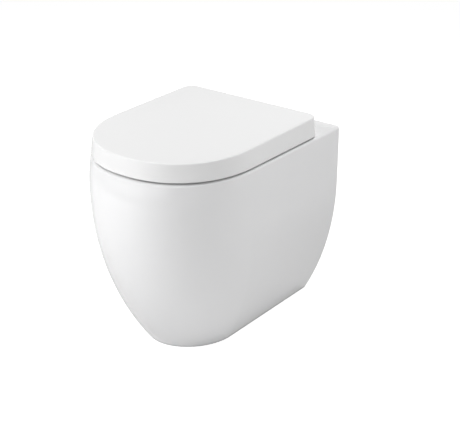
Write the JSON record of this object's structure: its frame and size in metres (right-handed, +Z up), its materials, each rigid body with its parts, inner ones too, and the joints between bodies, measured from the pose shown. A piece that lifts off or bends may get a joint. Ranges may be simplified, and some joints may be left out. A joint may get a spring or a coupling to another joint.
{
  "type": "back to wall toilet",
  "caption": "Floor-standing toilet pan with a curved skirt that runs back to the wall, a seat ring and a wrap-over lid on a two-pillar hinge.",
  "frame": {"origin": "on the floor, under the middle of the overall depth and width", "axes": "+X to the right seen from the front, +Y towards the wall, +Z up"},
  "size_m": [0.36, 0.5198, 0.4659],
  "materials": {
    "glazed_ceramic": "high gloss white vitreous glaze, bare biscuit on the foot",
    "white_duroplast": "gloss white moulded thermoset",
    "white_rubber": "soft translucent white",
    "black_rubber": "matt black EPDM",
    "zinc_steel": "zinc plated",
    "stainless": "bright stainless",
    "polished_hinge": "polished chrome",
    "brass_nut": "plain brass",
    "white_nylon": "natural nylon"
  },
  "bodies": {
    "pan": {"pan": "glazed_ceramic", "inlet_seal": "black_rubber", "floor_bracket_left": "zinc_steel", "floor_bracket_right": "zinc_steel", "clamp_sleeves": "white_nylon", "clamp_screws": "stainless", "hinge_base_left": "polished_hinge", "hinge_base_right": "polished_hinge", "base_gaskets": "black_rubber", "hinge_stud_left": "stainless", "hinge_stud_right": "stainless", "expanding_plug_left": "black_rubber", "expanding_plug_right": "black_rubber", "cone_nuts": "brass_nut", "hinge_pin_left": "stainless", "hinge_pin_right": "stainless"},
    "seat": {"seat_ring": "white_duroplast", "seat_arm_left": "polished_hinge", "seat_arm_right": "polished_hinge", "seat_arm_screws": "stainless", "seat_damper": "white_nylon", "seat_buffers": "white_rubber"},
    "lid": {"lid": "white_duroplast", "lid_arm_left": "polished_hinge", "lid_arm_right": "polished_hinge", "lid_arm_screws": "stainless", "lid_damper": "white_nylon", "lid_buffers": "white_rubber"}
  },
  "joints": [
    {"name": "seat_hinge", "type": "hinge", "parent": "pan", "child": "seat", "pos_m": [0, 0.203, 0.446], "axis": [-1, 0, 0], "range_deg": [0, 92]},
    {"name": "lid_hinge", "type": "hinge", "parent": "seat", "child": "lid", "pos_m": [0, 0.203, 0.446], "axis": [-1, 0, 0], "range_deg": [0, 92]}
  ]
}
